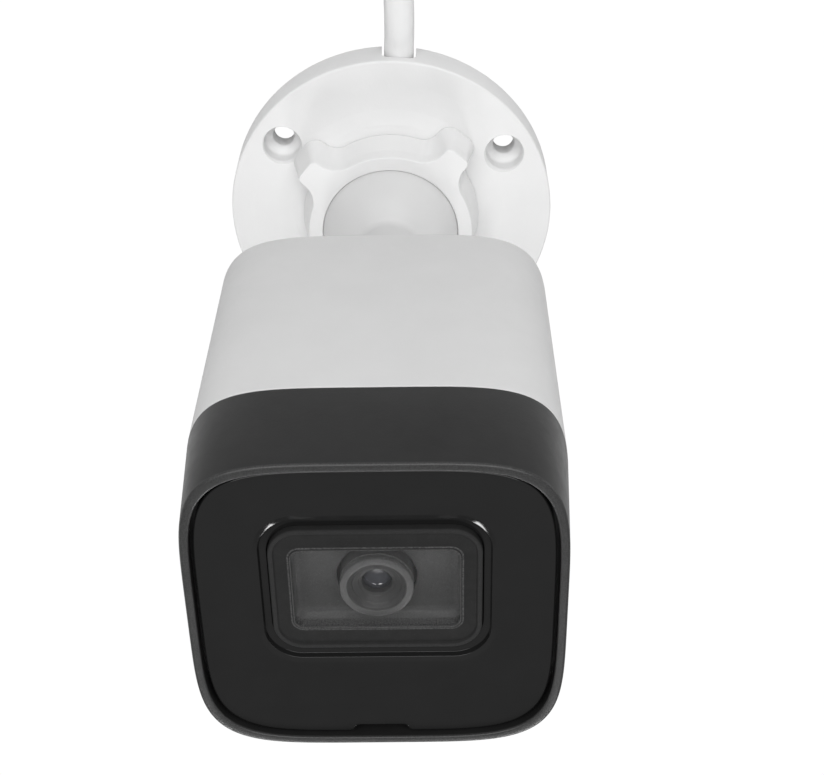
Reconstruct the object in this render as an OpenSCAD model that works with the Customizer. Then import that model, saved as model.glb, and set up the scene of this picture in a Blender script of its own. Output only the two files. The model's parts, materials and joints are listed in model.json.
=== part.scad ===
// Outdoor bullet camera on a ball-joint mount. Millimetres.
// The mounting face is at Z = 0 and the lens looks along +Z. The cable leaves the base towards -Y.

/* [Body] */
// Width of the housing
body_w = 61; // [58:0.5:64]
// Height of the housing, across its width
body_h = 58.6; // [56:0.5:61]
// How square the rounded outline is, as the power of a superellipse
squareness = 4.8; // [4:0.1:6]
// Wall of the rear shell
shell_wall = 2; // [1.6:0.1:2.2]
// Distance from the mounting face to the front rim
front_z = 145; // [144.5:0.1:146]
// Distance from the mounting face to the joint between shell and hood
seam_z = 126.2; // [125.8:0.1:126.6]
// Distance from the mounting face to the back edge of the shell
shell_z = 76; // [75.5:0.1:76.4]

/* [Front] */
// Width of the hood at its front rim
rim_w = 58.6; // [58:0.2:60]
// Height of the hood at its front rim
rim_h = 56.6; // [56:0.2:58]
// Width of the front rim's lip
lip = 1.4; // [1.2:0.1:1.6]
// Distance of the window's centre from the axis, towards the cable side
window_off = 3.6; // [3:0.1:4]
// Distance of the lens axis from the housing axis, towards the cable side
lens_off = 3; // [2.6:0.1:3.4]
// Diameter of the lens's front ring
lens_d = 11.5; // [11:0.1:11.8]

/* [Base] */
// Diameter of the mounting base
base_d = 72.8; // [72:0.1:74]
// Thickness of the base at its rim
rim_t = 9; // [8.6:0.1:9.4]
// Diameter of the circle of screw holes
hole_pcd = 57.4; // [57:0.1:59]
// Distance of that circle's centre from the axis, towards the notch
hole_off = 1.5; // [0:0.1:2]
// Diameter of the screw holes
hole_d = 4.8; // [4.2:0.1:5]
// Diameter of the screw holes' counterbores
bore_d = 8.2; // [8:0.1:9]
// Distance from the mounting face to the floor of the counterbores
bore_z = 4.6; // [4:0.1:6.5]
// Width of the cable notch in the rim
notch_w = 7.6; // [7.2:0.1:8.6]
// Distance of the notch's middle from the base's own middle line
notch_x = -0.5; // [-0.8:0.1:0]
// Turn of the base's holes and notch from the camera's own axes, in degrees
base_turn = 3.1; // [0:0.1:6]

/* [Ball joint] */
// Radius of the ball
ball_r = 15.5; // [15.3:0.1:15.6]
// Distance from the mounting face to the ball's centre
ball_z = 14.5; // [14.4:0.1:14.8]
// Radius of the stem
stem_r = 7; // [6.6:0.1:7.2]
// Distance from the mounting face to the lock ring's front
ring_z = 18.9; // [18.7:0.1:19.2]
// Turn of the lock ring's lobes from the diagonals, in degrees
ring_turn = 5; // [0:0.25:10]

/* [Cable] */
// Diameter of the main cable
cable_d = 6.5; // [6:0.1:6.6]
// Radius of the coil's turns at the middle of the cable
coil_r = 33; // [33:1:36]

/* [Hidden] */
$fn = 72;
eps = 0.01;
outline_points = 96;

// Housing, from the outside in
shell_in_w = body_w - 2 * shell_wall;
shell_in_h = body_h - 2 * shell_wall;
spigot_gap = 0.05;
hood_in_w = 53.4;
hood_in_h = 51;
seal_depth = 1;
plate_gap = 0.5;
plate_z = front_z - 1;
plate_back_z = plate_z - 2.5;
spigot_back_z = seam_z - 6;
cap_spigot_z = shell_z + 5.5;
cap_back_z = shell_z - 16;
cap_neck_z = shell_z - 20;
cap_floor_z = shell_z - 7;
cap_screw_z = shell_z - 3.5;
cap_end_scale = 0.62;
cap_edge = 0.3;
post_x = 21.5;
post_y = 20.5;
corners = [[1, 1], [-1, 1], [-1, -1], [1, -1]];

// Boards and lens
board_t = 1.6;
chassis_z = 92;
power_board_z = 100;
main_board_z = 108;
sensor_board_z = 115;
sensor_board_t = 1.2;
standoff_x = 17;
standoff_y = 15.5;
mask_z = front_z - 5.7;
barrel_z = front_z - 2.8;
glass_z = front_z - 2.7;
gasket_back_z = plate_back_z - 0.8;
ir_board_y = 19;
ir_board_z = 134;
led_x = 8;
led_z = ir_board_z + board_t;
ir_screw_x = 17.5;
hood_screw_x = 23.5;

// Ball joint
flat_z = ball_z - 7;
joint_gap = 0.06;
skirt_r = 17.6;
skirt_in_r = 15.7;
skirt_z = 6.5;
collar_z = 10;
ring_foot_z = collar_z + 0.3;
stem_end_z = shell_z - 2;
stem_shoulder_z = cap_neck_z - 0.2;
spigot_r = 6;
washer_z = cap_floor_z + 0.15;
nut_z = washer_z + 1;
seal_z = cap_floor_z - 4;
cable_bore_r = 3.6;

// Cable and what is on it
cable_r = cable_d / 2;
notch_top = 6.8;
coil_c = [coil_r, -93];
lead_r = 2.5;
power_lead_r = 1.8;
network_x = -28.5;
network_y = -156;
network_boot_y = -146;
power_y = -142;
power_x = -12;
splitter_y = -90;
splitter_len = 18;
splitter_x = -21;
tail_route = [
    [17, -60, 9.75], [11, -60, 9.75], [6, -60, 9.75], [1.3, -60.4, 9.75], [-3.2, -61.6, 9.75],
    [-7.5, -63.6, 9.1], [-11.4, -66.3, 8], [-14.7, -69.6, 6.6], [-17.4, -73.5, 5.2], [-19.4, -77.8, 4.1],
    [-20.6, -82.3, 3.5], [-21, -86.5, 3.25], [-21, -90, 3.25]
];
pigtail_route = [
    [-1.5, -20, 3.25], [-2, -28, 3.25], [-2.5, -37, 3.25], [-2.7, -46, 3.25], [-2.3, -55, 3.25],
    [-1.2, -64, 3.25], [-0.4, -71, 3.25], [0, -78, 3.25]
];
network_route = [
    [-24.5, -108, 2.5], [-24.5, -112, 2.5], [-25.1, -118, 2.5], [-26.2, -124, 2.8], [-27.4, -130, 3.6],
    [-28.3, -136, 4.5], [-28.5, -141, 5], [-28.5, -146, 5]
];
power_route = [
    [-17.5, -108, 1.8], [-17.5, -112, 1.8], [-16.6, -117, 1.8], [-15, -122, 2.2], [-13.5, -127, 3],
    [-12.4, -132, 4.3], [-12, -137, 5.3], [-12, -142, 5.5]
];

// One point of the housing's outline, at an angle from the centre
function outline(a, w, h) =
    let (p = pow(abs(2 * cos(a) / w), squareness) + pow(abs(2 * sin(a) / h), squareness))
    pow(p, -1 / squareness) * [cos(a), sin(a)];

// The housing's cross-section
module section(w, h) {
    polygon([for (i = [0 : outline_points - 1]) outline(i * 360 / outline_points, w, h)]);
}

module section_block(w, h, z0, z1) {
    translate([0, 0, z0]) linear_extrude(z1 - z0) section(w, h);
}

module section_tube(w, h, in_w, in_h, z0, z1) {
    translate([0, 0, z0]) linear_extrude(z1 - z0) difference() {
        section(w, h);
        section(in_w, in_h);
    }
}

// A rectangle with round corners, all arcs
module round_rect(w, h, r) {
    square([w - 2 * r, h], center = true);
    square([w, h - 2 * r], center = true);
    for (c = corners) translate([c.x * (w / 2 - r), c.y * (h / 2 - r)]) circle(r);
}

module window_block(w, h, r, z0, z1) {
    translate([0, -window_off, z0]) linear_extrude(z1 - z0) round_rect(w, h, r);
}

module at_corners(x, y) {
    for (c = corners) translate([c.x * x, c.y * y, 0]) children();
}

module rod(r, z0, z1) {
    translate([0, 0, z0]) cylinder(r = r, h = z1 - z0);
}

// A screw whose head sits at head_z and whose shank runs from there by length, up or down
module screw(shank_r, head_r, head_t, head_z, length) {
    if (length > 0) {
        rod(shank_r, head_z + head_t - eps, head_z + length);
        rod(head_r, head_z, head_z + head_t);
    } else {
        rod(shank_r, head_z + length, head_z - head_t + eps);
        rod(head_r, head_z - head_t, head_z);
    }
}

// A printed circuit board with its corners cut clear of the chassis posts
module board(w, h, z, t) {
    difference() {
        translate([-w / 2, -h / 2, z]) cube([w, h, t]);
        at_corners(post_x, post_y) rod(4.2, z - 1, z + t + 1);
    }
}

function unit(v) = v / norm(v);

// The direction at the angle a, one unit long
function heading(a) = [cos(a), sin(a)];

// A round tube swept along points that lie nearly level
function ring_at(pts, i, r, sides) =
    let (
        ahead = pts[min(i + 1, len(pts) - 1)] - pts[max(i - 1, 0)],
        side = unit(cross([0, 0, 1], ahead)),
        up = unit(cross(ahead, side))
    )
    [for (k = [0 : sides - 1]) pts[i] + r * (cos(k * 360 / sides) * side + sin(k * 360 / sides) * up)];

module tube(pts, r, sides) {
    n = len(pts);
    points = [for (i = [0 : n - 1]) each ring_at(pts, i, r, sides)];
    walls = [
        for (i = [0 : n - 2]) for (k = [0 : sides - 1])
            [
                i * sides + k, (i + 1) * sides + k, (i + 1) * sides + (k + 1) % sides,
                i * sides + (k + 1) % sides
            ]
    ];
    first = [for (k = [0 : sides - 1]) k];
    last = [for (k = [sides - 1 : -1 : 0]) (n - 1) * sides + k];
    polyhedron(points = points, faces = concat([first], walls, [last]), convexity = 4);
}

// ---- Mounting base ----

module at_holes() {
    translate([0, -hole_off, 0]) for (a = [90, 210, 330]) rotate(a)
        translate([hole_pcd / 2, 0, 0]) children();
}

module base_plate() {
    base_r = base_d / 2;
    wall = 2.2;
    color("white") rotate(-base_turn) difference() {
        union() {
            rotate_extrude() polygon([
                [base_r - wall, 0], [base_r, 0], [base_r, rim_t - 0.6], [base_r - 0.6, rim_t],
                [31, rim_t + 0.1], [26, rim_t + 0.4], [22.5, collar_z], [skirt_r + 0.05, collar_z],
                [skirt_r + 0.05, 5.6], [13.2, 5.6], [13.2, 3.6], [20, 3.6], [20, notch_top],
                [base_r - wall, notch_top]
            ]);
            at_holes() rod(5.6, 0, notch_top + eps);
            for (a = [30, 150, 240, 300]) rotate(a) translate([19.5, -0.75, 0.5]) cube([16, 1.5, 6.5]);
        }
        at_holes() {
            rod(hole_d / 2, -1, rim_t + 1);
            rod(bore_d / 2, bore_z, rim_t + 3);
        }
        // Cable notch through the rim and the inner wall, with round corners on its far side
        translate([0, -10, 0]) rotate([90, 0, 0]) linear_extrude(base_r) {
            translate([notch_x - notch_w / 2, -1]) square([notch_w, notch_top - 1]);
            translate([notch_x - notch_w / 2 + 2, -1]) square([notch_w - 4, notch_top + 1]);
            for (s = [-1, 1]) translate([notch_x + s * (notch_w / 2 - 2), notch_top - 2]) circle(2);
        }
    }
}

// One lobe of the lock ring, blended into the ring by hollow curves
module ring_lobe(tip, half_w, z0, z1) {
    blend_r = 6;
    ring_r = 17.5;
    round_r = 1.4;
    arc_steps = 8;
    blend_y = half_w + blend_r;
    blend_x = sqrt(pow(ring_r + blend_r, 2) - pow(blend_y, 2));
    foot_angle = 180 + atan(blend_y / blend_x);
    blend = [for (i = [0 : arc_steps])
        [blend_x, blend_y] + blend_r * heading(foot_angle + (270 - foot_angle) * i / arc_steps)];
    corner = [for (i = [0 : arc_steps])
        [tip - round_r, half_w - round_r] + round_r * heading(90 - 90 * i / arc_steps)];
    side = concat([[14, blend[0].y]], blend, corner);
    far_side = [for (i = [len(side) - 1 : -1 : 0]) [side[i].x, -side[i].y]];
    translate([0, 0, z0]) linear_extrude(z1 - z0) polygon(concat(side, far_side));
}

module lock_ring() {
    lobe_tip = 24;
    lobe_half_w = 3;
    lobe_inset = 0.2;
    color("white") difference() {
        union() {
            rotate_extrude() polygon([
                [12, ring_foot_z], [20.3, ring_foot_z], [18.6, ring_z - 1.8], [18.4, ring_z - 0.5],
                [17.9, ring_z], [12, ring_z]
            ]);
            for (a = [0 : 90 : 270]) rotate(a + 45 + ring_turn)
                ring_lobe(lobe_tip, lobe_half_w, ring_foot_z + lobe_inset, ring_z - lobe_inset);
            rod(skirt_r, skirt_z, ring_foot_z + 1);
        }
        translate([0, 0, ball_z]) sphere(ball_r + joint_gap);
        rod(skirt_in_r, skirt_z - 1, ball_z - 1.5);
    }
}

// ---- Ball joint ----

module ball_seat() {
    color("dimgray") difference() {
        rod(15.4, 5.65, collar_z);
        translate([0, 0, ball_z]) sphere(ball_r + joint_gap);
        rod(13.9, 5, 8);
    }
}

module ball_stem() {
    fillet = 2;
    foot_z = ball_z + sqrt(pow(ball_r, 2) - pow(stem_r + fillet, 2));
    color("gainsboro") difference() {
        union() {
            difference() {
                translate([0, 0, ball_z]) sphere(ball_r);
                translate([0, 0, ball_z]) sphere(ball_r - 2.8);
                translate([0, 0, flat_z - 20]) cube([50, 50, 40], center = true);
            }
            rod(stem_r, ball_z + 10, stem_shoulder_z);
            rotate_extrude() difference() {
                translate([1, foot_z - 0.8]) square([stem_r + 1, fillet + 0.8]);
                translate([stem_r + fillet, foot_z + fillet]) circle(fillet);
            }
            rod(spigot_r, stem_shoulder_z - 1, stem_end_z);
        }
        rod(cable_bore_r, ball_z, stem_end_z + 1);
        rod(4.6, stem_end_z - 4, stem_end_z + 1);
        rotate_extrude() translate([4.9, seal_z - 0.65]) square([2, 1.3]);
    }
}

module stem_seal() {
    color("black") rotate_extrude() translate([spigot_r - 0.54, seal_z]) circle(0.55);
}

module stem_washer() {
    color("silver") difference() {
        rod(9, washer_z, nut_z);
        rod(spigot_r, washer_z - 1, nut_z + 1);
    }
}

module stem_nut() {
    color("silver") difference() {
        translate([0, 0, nut_z]) cylinder(r = 10, h = 3.6, $fn = 6);
        rod(spigot_r, nut_z - 1, nut_z + 5);
    }
}

module cable_grommet() {
    color("black") difference() {
        union() {
            rod(4.6, stem_end_z - 4, stem_end_z);
            rod(5.6, stem_end_z, stem_end_z + 1.4);
        }
        rod(cable_r, stem_end_z - 5, stem_end_z + 2);
    }
}

module stem_cable() {
    color("white") rod(cable_r, flat_z + 1, 82);
}

// ---- Rear of the housing ----

module rear_cap() {
    color("lightgray") difference() {
        union() {
            translate([0, 0, shell_z]) mirror([0, 0, 1])
                linear_extrude(shell_z - cap_back_z, scale = cap_end_scale)
                    section(body_w - 2 * cap_edge, body_h - 2 * cap_edge);
            rod(11, cap_neck_z, cap_back_z + 1);
            section_tube(shell_in_w - 2 * spigot_gap, shell_in_h - 2 * spigot_gap, hood_in_w, hood_in_h,
                shell_z - 1, cap_spigot_z);
        }
        // Hollow around the boss that the stem is clamped on
        rotate_extrude() polygon([
            [0, cap_floor_z], [11, cap_floor_z], [11, cap_back_z + 2.5], [14, cap_back_z + 2.5],
            [20, cap_floor_z], [20, cap_spigot_z + 1], [0, cap_spigot_z + 1]
        ]);
        rod(spigot_r + joint_gap, cap_neck_z - 1, cap_floor_z + 1);
        at_corners(post_x, post_y) {
            rod(1.6, cap_back_z, shell_z + 1);
            rod(3, cap_back_z - 1, cap_screw_z);
        }
        seal_groove(shell_z + 1.5);
    }
}

// The ring of space that a housing seal sits in
module seal_groove(z) {
    section_tube(body_w, body_h, shell_in_w - 2 * seal_depth - 0.1, shell_in_h - 2 * seal_depth - 0.1,
        z, z + 1.8);
}

module housing_seal(z) {
    color("black") section_tube(shell_in_w, shell_in_h, shell_in_w - 2 * seal_depth - 0.1,
        shell_in_h - 2 * seal_depth - 0.1, z, z + 1.8);
}

module rear_seal() {
    housing_seal(shell_z + 1.5);
}

module hood_seal() {
    housing_seal(spigot_back_z + 2.4);
}

module rear_cap_screws() {
    color("silver") at_corners(post_x, post_y) screw(1.5, 2.75, 2, cap_screw_z - 2, 30);
}

module body_shell() {
    color("lightgray") difference() {
        union() {
            section_tube(body_w, body_h, shell_in_w, shell_in_h, shell_z, seam_z);
            intersection() {
                section_block(body_w - 1, body_h - 1, 82, chassis_z);
                at_corners(post_x, post_y) rod(4.6, 81, chassis_z + 1);
            }
        }
        at_corners(post_x, post_y) rod(1.6, 81, chassis_z + 1);
    }
}

// ---- Chassis and boards ----

module chassis() {
    plate_t = 2;
    front_frame_z = spigot_back_z - plate_t;
    color("slategray") difference() {
        union() {
            section_block(54, 51.6, chassis_z, chassis_z + plate_t);
            section_tube(54, 51.6, 44, 40, front_frame_z, spigot_back_z);
            at_corners(post_x, post_y) rod(3.6, chassis_z, spigot_back_z);
            for (s = [-1, 1]) translate([s * hood_screw_x, 0, 0]) rod(3, front_frame_z, spigot_back_z);
        }
        translate([-13, -12, chassis_z - 1]) cube([26, 24, plate_t + 2]);
        at_corners(post_x, post_y) rod(1.5, chassis_z - 1, 100.6);
        for (s = [-1, 1]) translate([s * hood_screw_x, 0, 0]) rod(1.6, front_frame_z - 1, spigot_back_z + 1);
    }
}

module board_standoffs() {
    color("gold") at_corners(standoff_x, standoff_y) {
        rod(2.5, chassis_z + 2, power_board_z);
        difference() {
            rod(2.5, power_board_z + board_t, main_board_z);
            rod(1, 103.5, main_board_z + 1);
        }
    }
}

module power_board() {
    color("darkgreen") {
        board(40, 37, power_board_z, board_t);
        // Transformer and capacitors on the front side
        translate([-13, -6, power_board_z + board_t]) cube([14, 10, 5.6]);
        translate([8, 8, 0]) rod(3.1, power_board_z + board_t, 107.4);
        translate([8, -8, 0]) rod(3.1, power_board_z + board_t, 107.4);
    }
}

module harness_plug() {
    color("ivory") translate([-6, -3, 94]) cube([12, 6, 6]);
}

module inner_cable() {
    color("white") rod(2.5, 83.5, 94);
}

module main_board() {
    color("darkgreen") difference() {
        board(40, 37, main_board_z, board_t);
        at_corners(standoff_x, standoff_y) rod(1, main_board_z - 1, main_board_z + 3);
    }
}

module board_screws() {
    color("silver") at_corners(standoff_x, standoff_y) screw(1, 2.2, 1.5, main_board_z + board_t + 1.5, -7);
}

module processor() {
    color("black") translate([-7, -7, main_board_z + board_t]) cube([14, 14, 1.3]);
}

module thermal_pad() {
    color("lightblue") translate([-7, -7, main_board_z + board_t + 1.3]) cube([14, 14, 1]);
}

module sensor_standoffs() {
    color("gold") at_corners(12.5, 12.5) translate([0, -lens_off, 0])
        rod(1.8, main_board_z + board_t, sensor_board_z);
}

module sensor_board() {
    color("darkgreen") translate([-15, -15 - lens_off, sensor_board_z]) cube([30, 30, sensor_board_t]);
}

module image_sensor() {
    color("black") translate([-4, -3.2 - lens_off, sensor_board_z + sensor_board_t]) cube([8, 6.4, 1]);
}

// ---- Lens ----

module lens_holder() {
    foot_z = sensor_board_z + sensor_board_t;
    color("black") translate([0, -lens_off, 0]) difference() {
        union() {
            translate([-11, -8.5, foot_z]) cube([22, 17, 6.8]);
            rod(8, foot_z + 6, 131);
        }
        rod(6, foot_z + 4.9, 132);
        translate([-5, -4, foot_z - 1]) cube([10, 8, 7.5]);
        // Slot for the sliding filter
        translate([-9.8, -4.6, foot_z + 2.2]) cube([25, 9.2, 2]);
    }
}

module ir_cut_filter() {
    color("tomato") translate([-9.4, -4.2 - lens_off, sensor_board_z + sensor_board_t + 2.5])
        cube([14, 8.4, 1.4]);
}

module lens_barrel() {
    color("black") translate([0, -lens_off, 0]) difference() {
        union() {
            rod(6, 122.5, 134);
            rod(lens_d / 2, 134 - eps, barrel_z);
        }
        rotate_extrude() polygon([
            [0, barrel_z - 2.9], [2.4, barrel_z - 2.9], [2.4, barrel_z - 1.6], [4.6, barrel_z - 0.5],
            [4.6, barrel_z + 1], [0, barrel_z + 1]
        ]);
        rod(4, 121, 124.5);
    }
}

module lens_front_element() {
    color("midnightblue") translate([0, -lens_off, 0]) intersection() {
        rod(2.4, barrel_z - 2.9, barrel_z - 1.6);
        translate([0, 0, barrel_z - 5.9]) sphere(4.2);
    }
}

module lens_rear_element() {
    color("midnightblue") translate([0, -lens_off, 0]) rod(4, 122.8, 124.5);
}

// ---- Infrared lamps ----

module ir_board() {
    color("darkgreen") difference() {
        translate([-20, ir_board_y - 5, ir_board_z]) cube([40, 10, board_t]);
        for (s = [-1, 1]) translate([s * ir_screw_x, ir_board_y, 0]) rod(1, ir_board_z - 1, ir_board_z + 3);
    }
}

module ir_leds() {
    color("lightyellow") for (s = [-1, 1]) translate([s * led_x, ir_board_y, 0]) {
        rod(2.6, led_z, led_z + 1.2);
        translate([0, 0, led_z + 1.2 - eps]) intersection() {
            sphere(2.1);
            rod(3, 0, 3);
        }
    }
}

module ir_board_screws() {
    color("silver") for (s = [-1, 1]) translate([s * ir_screw_x, ir_board_y, 0])
        screw(1, 2, 1.3, ir_board_z - 1.3, 6);
}

// ---- Front ----

module lens_mask() {
    color("dimgray") difference() {
        window_block(31, 22.4, 3, mask_z - 1.2, gasket_back_z);
        window_block(26.6, 16.4, 2, mask_z, gasket_back_z + 1);
        translate([0, -lens_off, 0]) rod(6.2, mask_z - 2, mask_z + 1);
    }
}

module window_glass() {
    color("lightcyan") window_block(30, 20, 2.5, glass_z, glass_z + 1);
}

module window_gasket() {
    color("black") difference() {
        union() {
            window_block(34.6, 25.6, 5.8, gasket_back_z, plate_back_z);
            window_block(32.5, 23.6, 4.8, plate_back_z - eps, glass_z + 1.6);
        }
        window_block(26.5, 16.2, 1.9, gasket_back_z - 1, glass_z + 1);
        window_block(30, 20, 2.5, glass_z, glass_z + 1);
        window_block(25.6, 15.3, 1.6, glass_z, glass_z + 2);
        window_block(31.1, 22.2, 4.1, glass_z + 1.3, glass_z + 2);
    }
}

module front_plate() {
    color("black") difference() {
        union() {
            section_block(rim_w - 2 * (lip + plate_gap), rim_h - 2 * (lip + plate_gap), plate_back_z,
                plate_z);
            for (s = [-1, 1]) translate([s * ir_screw_x, ir_board_y, 0])
                rod(2.2, ir_board_z + board_t, plate_z - 1);
        }
        window_block(32.9, 24, 5, plate_back_z - 1, plate_z + 1);
        window_block(34.7, 26.6, 5.6, plate_z - 1.1, plate_z + 1);
        window_block(36.6, 29.2, 6.4, plate_z - 0.5, plate_z + 1);
        for (s = [-1, 1]) translate([s * ir_screw_x, ir_board_y, 0]) rod(1, ir_board_z, ir_board_z + 4.7);
        translate([-4.2, rim_h / 2 - lip - plate_gap - 1.5, plate_back_z - 1]) cube([8.4, 5, 5]);
    }
}

module hood_screws() {
    color("silver") for (s = [-1, 1]) translate([s * hood_screw_x, 0, 0])
        screw(1.5, 2.4, 1.8, spigot_back_z - 3.8, 12);
}

module front_hood() {
    color([0.16, 0.16, 0.16]) difference() {
        union() {
            hull() {
                section_block(body_w, body_h, seam_z, seam_z + eps);
                section_block(rim_w, rim_h, front_z - eps, front_z);
            }
            section_block(shell_in_w - 2 * spigot_gap, shell_in_h - 2 * spigot_gap, spigot_back_z,
                seam_z + 1);
        }
        difference() {
            section_block(hood_in_w, hood_in_h, spigot_back_z - 1, plate_back_z + 1);
            for (s = [-1, 1]) translate([s * hood_screw_x, 0, 0]) rod(3.6, spigot_back_z - 2, 133);
        }
        section_block(rim_w - 2 * lip, rim_h - 2 * lip, plate_back_z, front_z + 1);
        for (s = [-1, 1]) translate([s * hood_screw_x, 0, 0]) rod(1.5, spigot_back_z - 1, spigot_back_z + 9);
        seal_groove(spigot_back_z + 2.4);
    }
}

// ---- Cable ----

module pigtail_cable() {
    color("white") tube(pigtail_route, cable_r, 12);
}

module cable_coil() {
    color("white") translate([coil_c.x, coil_c.y, 0]) rotate_extrude() translate([coil_r, 0]) {
        translate([0, cable_r]) circle(cable_r);
        translate([0, 3 * cable_r]) circle(cable_r);
        translate([-cable_r, cable_r]) square([2 * cable_r, 2 * cable_r]);
    }
}

module cable_tail() {
    color("white") tube(tail_route, cable_r, 12);
}

// A band around both turns of the coil
module coil_tie() {
    band = 0.8;
    color("black") translate([coil_c.x + coil_r, coil_c.y, 0]) rotate([90, 0, 0])
        translate([0, 0, -3]) linear_extrude(6) difference() {
            translate([-cable_r - band, 0]) square([2 * (cable_r + band), 4 * cable_r + band]);
            translate([-cable_r, band]) square([2 * cable_r, 4 * cable_r - band]);
        }
}

module cable_splitter() {
    color("white") translate([splitter_x, splitter_y, 0]) rotate([90, 0, 0]) linear_extrude(splitter_len) {
        translate([-7, 1.6]) square([14, 5.2]);
        translate([-5.4, 0]) square([10.8, 8.4]);
        for (x = [-5.4, 5.4]) for (y = [1.6, 6.8]) translate([x, y]) circle(1.6);
    }
}

module network_lead() {
    color("white") tube(network_route, lead_r, 8);
}

module network_socket() {
    color("white") difference() {
        union() {
            translate([network_x - 8.5, network_y - 34, 0]) cube([17, 34, 15]);
            translate([network_x, network_boot_y, 7.5]) rotate([90, 0, 0]) linear_extrude(10 + eps)
                square([12, 15], center = true);
        }
        translate([network_x - 5.95, network_y - 35, 4]) cube([11.9, 14, 7.2]);
        translate([network_x - 3, network_y - 35, 2.2]) cube([6, 14, 3]);
    }
}

// Eight contacts along the socket's top
module socket_contacts() {
    color("gold") for (i = [0 : 7])
        translate([network_x - 3.77 + i * 1.02, network_y - 32, 10.6]) cube([0.4, 10, 0.6]);
}

module power_lead() {
    color("black") tube(power_route, power_lead_r, 8);
}

module power_socket() {
    color("black") translate([power_x, power_y, 5.5]) rotate([90, 0, 0]) difference() {
        union() {
            rod(5.5, 7, 33);
            rod(4.4, 0, 7 + eps);
        }
        rod(2.8, 22, 34);
    }
}

module power_pin() {
    color("silver") translate([power_x, power_y - 22, 5.5]) rotate([90, 0, 0]) rod(1.05, 0, 9.5);
}

base_plate();
lock_ring();
ball_seat();
ball_stem();
stem_seal();
stem_washer();
stem_nut();
cable_grommet();
stem_cable();
rear_cap();
rear_seal();
rear_cap_screws();
body_shell();
chassis();
power_board();
harness_plug();
inner_cable();
board_standoffs();
board_screws();
main_board();
processor();
thermal_pad();
sensor_standoffs();
sensor_board();
image_sensor();
lens_holder();
ir_cut_filter();
lens_barrel();
lens_front_element();
lens_rear_element();
ir_board();
ir_leds();
ir_board_screws();
lens_mask();
window_glass();
window_gasket();
front_plate();
hood_seal();
hood_screws();
front_hood();
pigtail_cable();
cable_coil();
cable_tail();
coil_tie();
cable_splitter();
network_lead();
network_socket();
socket_contacts();
power_lead();
power_socket();
power_pin();
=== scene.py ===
"""The looks of an outdoor bullet camera on a ball mount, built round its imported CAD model.

Lengths are millimetres in the CAD's frame: the mounting face is at z = 0 and the lens looks along +Z.
"""

import json
from math import atan2, cos, hypot, inf, pi, radians, sin, sqrt, tan, tau

import bmesh
import bpy
from mathutils import Matrix, Vector


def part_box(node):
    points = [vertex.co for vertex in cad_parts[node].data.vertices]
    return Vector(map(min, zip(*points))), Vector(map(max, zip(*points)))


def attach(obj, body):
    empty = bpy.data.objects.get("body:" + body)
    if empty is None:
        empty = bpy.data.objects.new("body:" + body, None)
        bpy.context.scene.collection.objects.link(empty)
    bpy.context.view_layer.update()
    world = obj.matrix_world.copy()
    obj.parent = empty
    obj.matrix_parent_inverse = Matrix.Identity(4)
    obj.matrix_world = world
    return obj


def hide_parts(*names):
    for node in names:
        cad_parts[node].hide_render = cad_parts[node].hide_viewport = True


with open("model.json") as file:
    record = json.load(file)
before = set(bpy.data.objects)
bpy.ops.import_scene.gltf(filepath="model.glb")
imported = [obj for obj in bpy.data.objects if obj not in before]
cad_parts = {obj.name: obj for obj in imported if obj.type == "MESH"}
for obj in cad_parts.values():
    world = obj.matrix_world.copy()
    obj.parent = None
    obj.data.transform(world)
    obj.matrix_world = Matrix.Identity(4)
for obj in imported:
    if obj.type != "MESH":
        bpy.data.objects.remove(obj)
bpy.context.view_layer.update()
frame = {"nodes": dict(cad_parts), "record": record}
scene = bpy.context.scene
MM = 0.001


def extent(node, axis):
    """The lowest and highest millimetre of a CAD node along an axis."""
    low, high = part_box(node)
    return low[axis] / MM, high[axis] / MM


def size(node, axis):
    """The length of a CAD node along an axis, in millimetres."""
    low, high = extent(node, axis)
    return high - low


X, Y, Z = 0, 1, 2
AROUND = 288  # points round each outline
POLE_R = 1e-5  # stands for a radius of 0

# The housing, from its seams to the hood's narrower rim.
BODY_W, BODY_H = size("body_shell", X), size("body_shell", Y)
SHELL_Z, SEAM_Z = extent("body_shell", Z)
FRONT_Z = extent("front_hood", Z)[1]
SQUARENESS = 4.8
WALL = 2
SPIGOT = WALL + 0.05  # the inset of a spigot that fits inside the shell
RIM_W, RIM_H = BODY_W - 2.4, BODY_H - 2
LIP = 1.4
CAP_BACK_Z = SHELL_Z - 16
CAP_NECK_Z = extent("rear_cap", Z)[0]
CAP_SCREWS = [(x, y) for x in (-21.5, 21.5) for y in (-20.5, 20.5)]

# The front. Its rectangles are (width, height, corner radius).
PLATE_GAP = 0.5
PLATE_Z = extent("front_plate", Z)[1]
PLATE_BACK_Z = PLATE_Z - 2.5
WINDOW_Y = sum(extent("window_glass", Y)) / 2
GLASS_Z, GLASS_TOP_Z = extent("window_glass", Z)
PANE = (30, 20, 2.5)
GASKET_RIM = (32.5, 23.6, 4.8)
GASKET_LIP = (25.6, 15.3, 1.6)
GASKET_OPENING = (26.5, 16.2, 1.9)
GASKET_BACK_Z = PLATE_BACK_Z - 0.8
MASK_Z = FRONT_Z - 5.7
LENS_Y = sum(extent("lens_front_element", Y)) / 2
BARREL_R = 5.75
BARREL_Z = extent("lens_barrel", Z)[1]

# The mount. The base and the ring are turned a little about the Z axis.
BASE_R = size("base_plate", X) / 2
BASE_TURN = radians(-3.1)
BALL_R = size("ball_stem", X) / 2
BALL_FLAT = 7  # how far below its centre the ball is cut off
BALL_Z = extent("ball_stem", Z)[0] + BALL_FLAT
RING_Z = extent("lock_ring", Z)[1]
RING_TURN = radians(5)

CABLE_D = 6.5
COIL_X, COIL_Y, COIL_R = 33, -93, 33


# ---- Camera ----


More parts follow.
